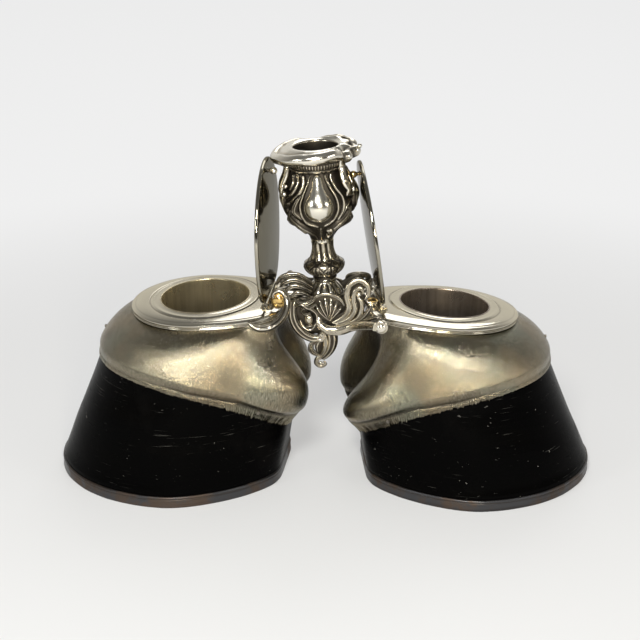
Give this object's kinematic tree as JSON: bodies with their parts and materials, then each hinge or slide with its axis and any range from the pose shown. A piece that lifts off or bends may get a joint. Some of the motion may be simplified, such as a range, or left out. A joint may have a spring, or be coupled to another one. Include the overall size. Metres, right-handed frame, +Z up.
{
  "type": "desk inkstand",
  "caption": "Desk inkstand of two metal-mounted hooves as inkwells with hinged lids, joined by a scrolled bridge that carries a cast candlestick.",
  "frame": {"origin": "on the ground, midway between the two hooves, at the centre of the part's box", "axes": "+X along the stand towards the right hoof's toe, +Y towards the back, +Z up. The pictured front faces -Y."},
  "size_m": [0.296, 0.1272, 0.1864],
  "materials": {
    "horn": "polished natural horn, scratched, with small pale specks",
    "shoe_plate": "worn silver plate with copper showing",
    "mount_silver": "satin plated metal engraved with fine hair",
    "polished_silver": "polished silver plate",
    "gilt_liner": "dull gilt",
    "golden_knob": "polished",
    "cast_silver": "cast, blackened in the hollows and polished on the high spots",
    "dark_metal": "dark tarnished",
    "brass_screw": "worn polish"
  },
  "bodies": {
    "stand": {"left_hoof": "horn", "left_shoe": "shoe_plate", "left_sole_plate": "shoe_plate", "left_shoe_pins": "shoe_plate", "left_coronet": "mount_silver", "left_coronet_pins": "dark_metal", "left_collar": "polished_silver", "left_collar_wire": "polished_silver", "left_well_liner": "gilt_liner", "left_hinge_knuckles": "polished_silver", "left_hinge_pin": "polished_silver", "right_hoof": "horn", "right_shoe": "shoe_plate", "right_sole_plate": "shoe_plate", "right_shoe_pins": "shoe_plate", "right_coronet": "mount_silver", "right_coronet_pins": "dark_metal", "right_collar": "polished_silver", "right_collar_wire": "polished_silver", "right_well_liner": "gilt_liner", "right_hinge_knuckles": "polished_silver", "right_hinge_pin": "polished_silver", "bridge": "cast_silver", "bridge_screws": "brass_screw", "apron_front": "cast_silver", "apron_back": "cast_silver", "bell": "cast_silver", "knop": "cast_silver", "nozzle": "cast_silver", "nozzle_lip": "cast_silver", "candle_socket": "dark_metal", "tie_rod": "dark_metal", "tie_nut": "dark_metal"},
    "left_lid": {"left_lid": "polished_silver", "left_lid_knuckle": "polished_silver", "left_lid_knob": "golden_knob"},
    "right_lid": {"right_lid": "polished_silver", "right_lid_knuckle": "polished_silver", "right_lid_knob": "golden_knob"}
  },
  "joints": [
    {"name": "left_lid_hinge", "type": "hinge", "parent": "stand", "child": "left_lid", "pos_m": [-0.03007, -0.00544, 0.10113], "axis": [-0.1024, -0.9939, -0.0418], "range_deg": [0, 91.8]},
    {"name": "right_lid_hinge", "type": "hinge", "parent": "stand", "child": "right_lid", "pos_m": [0.03018, -0.00538, 0.09969], "axis": [-0.1069, 0.9939, -0.0278], "range_deg": [0, 103.3]}
  ]
}
